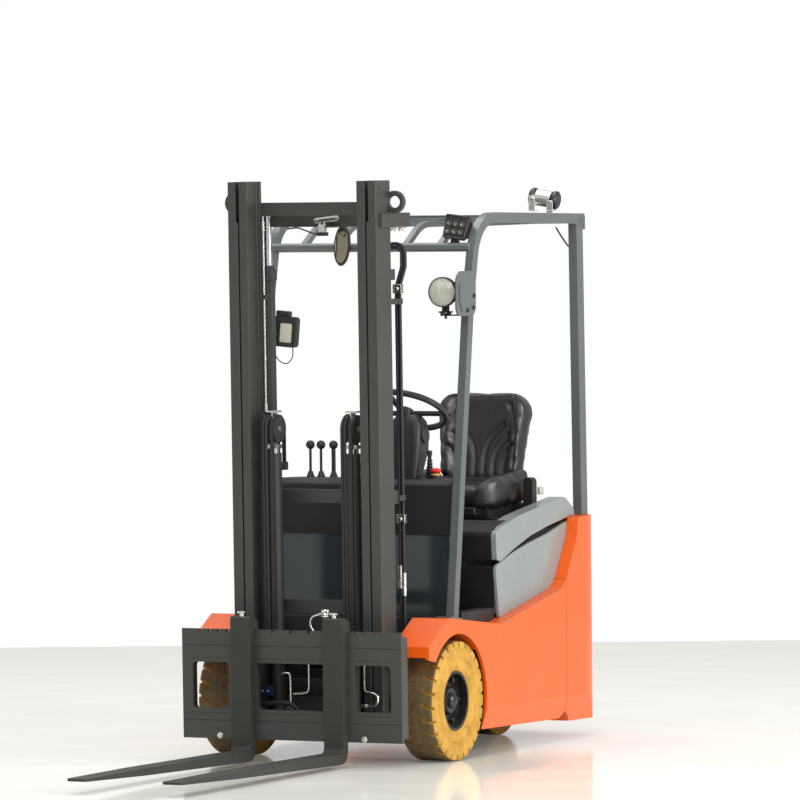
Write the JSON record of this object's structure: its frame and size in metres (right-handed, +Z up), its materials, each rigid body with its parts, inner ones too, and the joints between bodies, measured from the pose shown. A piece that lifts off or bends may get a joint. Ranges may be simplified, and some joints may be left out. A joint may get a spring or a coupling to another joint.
{
  "type": "electric counterbalance forklift",
  "caption": "Three-wheel electric counterbalance lift truck with a two-stage free-lift mast, side-shifting fork bar, hooked forks, overhead guard and hinged seat hood.",
  "frame": {"origin": "centre of the footprint, on the floor", "axes": "+Z up, +Y from the fork tips towards the counterweight, +X towards the driver's left"},
  "size_m": [0.99, 3.1161, 2.1578],
  "materials": {
    "orange_paint": "smooth gloss coat with a little orange peel",
    "grey_paint": "satin coat",
    "guard_paint": "satin coat",
    "mast_paint": "semi-gloss coat, greased running faces",
    "frame_paint": "semi-gloss coat",
    "black_plastic": "fine moulded grain",
    "dash_panel": "polished dark panel",
    "seat_vinyl": "grained upholstery, sewn channels",
    "tyre_pale": "solid non-marking tyre, worn tread",
    "rim_black": "gloss coat",
    "zinc": "bright plated",
    "rod_chrome": "hard chromed, ground",
    "cast_hub": "painted casting",
    "battery_grey": "acid-proof coat",
    "lamp_body": "black housings with clear lenses",
    "hose_rubber": "oiled chains and rubber hoses",
    "mirror_face": "convex mirror in a black shell"
  },
  "bodies": {
    "truck": {"chassis_frame": "frame_paint", "battery": "battery_grey", "wings": "orange_paint", "side_covers": "grey_paint", "dark_panels": "dash_panel", "counterweight": "orange_paint", "overhead_guard": "guard_paint", "cowl_top": "black_plastic", "steering_column": "black_plastic", "levers": "black_plastic", "steer_bearing": "cast_hub", "lamps": "lamp_body", "mirror": "mirror_face", "terminal": "black_plastic", "pedals_and_pads": "black_plastic"},
    "wheel_front_left": {"front_tyre_left": "tyre_pale", "front_rim_left": "rim_black"},
    "wheel_front_right": {"front_tyre_right": "tyre_pale", "front_rim_right": "rim_black"},
    "steering_wheel_body": {"steering_wheel": "black_plastic"},
    "hood": {"hood_lid": "grey_paint", "seat_base": "black_plastic", "seat_cushion": "seat_vinyl", "seat_back": "seat_vinyl"},
    "drive_steer": {"drive_unit": "cast_hub"},
    "wheels_rear": {"rear_tyres": "tyre_pale", "rear_rims": "rim_black"},
    "mast_stage_outer": {"mast_outer": "mast_paint", "lift_barrels": "mast_paint", "mast_hoses": "hose_rubber"},
    "mast_stage_inner": {"mast_inner": "mast_paint", "lift_rods": "rod_chrome", "free_lift_barrels": "mast_paint", "stage_pipe": "zinc", "rear_strands": "hose_rubber"},
    "free_lift_head": {"free_lift_heads": "zinc", "sheaves": "mast_paint", "head_bends": "hose_rubber"},
    "lift_carriage": {"carriage": "mast_paint", "front_strands": "hose_rubber"},
    "side_shifter": {"fork_bar": "mast_paint"},
    "left_fork": {"fork_left": "mast_paint"},
    "right_fork": {"fork_right": "mast_paint"},
    "tilt_barrel": {"tilt_barrels": "mast_paint"},
    "tilt_rod": {"tilt_rods": "rod_chrome"}
  },
  "joints": [
    {"name": "front_left_roll", "type": "hinge", "parent": "truck", "child": "wheel_front_left", "pos_m": [0.413, 0.16708, 0.224], "axis": [1, 0, 0], "continuous": true},
    {"name": "front_right_roll", "type": "hinge", "parent": "truck", "child": "wheel_front_right", "pos_m": [-0.413, 0.16708, 0.224], "axis": [1, 0, 0], "continuous": true},
    {"name": "rear_steer", "type": "hinge", "parent": "truck", "child": "drive_steer", "pos_m": [0, 1.30208, 0.3], "axis": [0, 0, 1], "range_deg": [-90, 90]},
    {"name": "rear_roll", "type": "hinge", "parent": "drive_steer", "child": "wheels_rear", "pos_m": [0, 1.30208, 0.19], "axis": [1, 0, 0], "continuous": true},
    {"name": "steering_turn", "type": "hinge", "parent": "truck", "child": "steering_wheel_body", "pos_m": [0.112, 0.51508, 1.29], "axis": [0, 0.4695, 0.8829], "continuous": true},
    {"name": "hood_open", "type": "hinge", "parent": "truck", "child": "hood", "pos_m": [0, 1.33208, 0.868], "axis": [-1, 0, 0], "range_deg": [0, 60]},
    {"name": "mast_tilt", "type": "hinge", "parent": "truck", "child": "mast_stage_outer", "pos_m": [0, 0.07406, 0.22271], "axis": [-1, 0, 0], "range_deg": [-2.2, 5.8]},
    {"name": "tilt_barrel_swing", "type": "hinge", "parent": "truck", "child": "tilt_barrel", "pos_m": [0, 0.49708, 0.33], "axis": [-1, 0, 0], "range_deg": [-2, 2]},
    {"name": "tilt_rod_slide", "type": "slide", "parent": "tilt_barrel", "child": "tilt_rod", "axis": [0, -0.963, 0.2696], "range_m": [-0.03, 0.03]},
    {"name": "inner_stage_lift", "type": "slide", "parent": "mast_stage_outer", "child": "mast_stage_inner", "axis": [0, -0.014, 0.9999], "range_m": [0, 1.5]},
    {"name": "carriage_lift", "type": "slide", "parent": "mast_stage_inner", "child": "lift_carriage", "axis": [0, -0.014, 0.9999], "range_m": [0, 1.46], "deforming": ["front_strands", "rear_strands"]},
    {"name": "head_lift", "type": "slide", "parent": "mast_stage_inner", "child": "free_lift_head", "axis": [0, -0.014, 0.9999], "range_m": [0, 0.73]},
    {"name": "side_shift", "type": "slide", "parent": "lift_carriage", "child": "side_shifter", "axis": [1, 0, 0], "range_m": [-0.075, 0.075]},
    {"name": "left_fork_set", "type": "slide", "parent": "side_shifter", "child": "left_fork", "axis": [1, 0, 0], "range_m": [-0.13, 0.222]},
    {"name": "right_fork_set", "type": "slide", "parent": "side_shifter", "child": "right_fork", "axis": [-1, 0, 0], "range_m": [-0.13, 0.222]}
  ],
  "couplings": [
    {"joint": "tilt_barrel_swing", "follows": "mast_tilt", "ratio": 0.06567},
    {"joint": "tilt_rod_slide", "follows": "mast_tilt", "m_per_rad": -0.21736},
    {"joint": "head_lift", "follows": "carriage_lift", "ratio": 0.5}
  ]
}
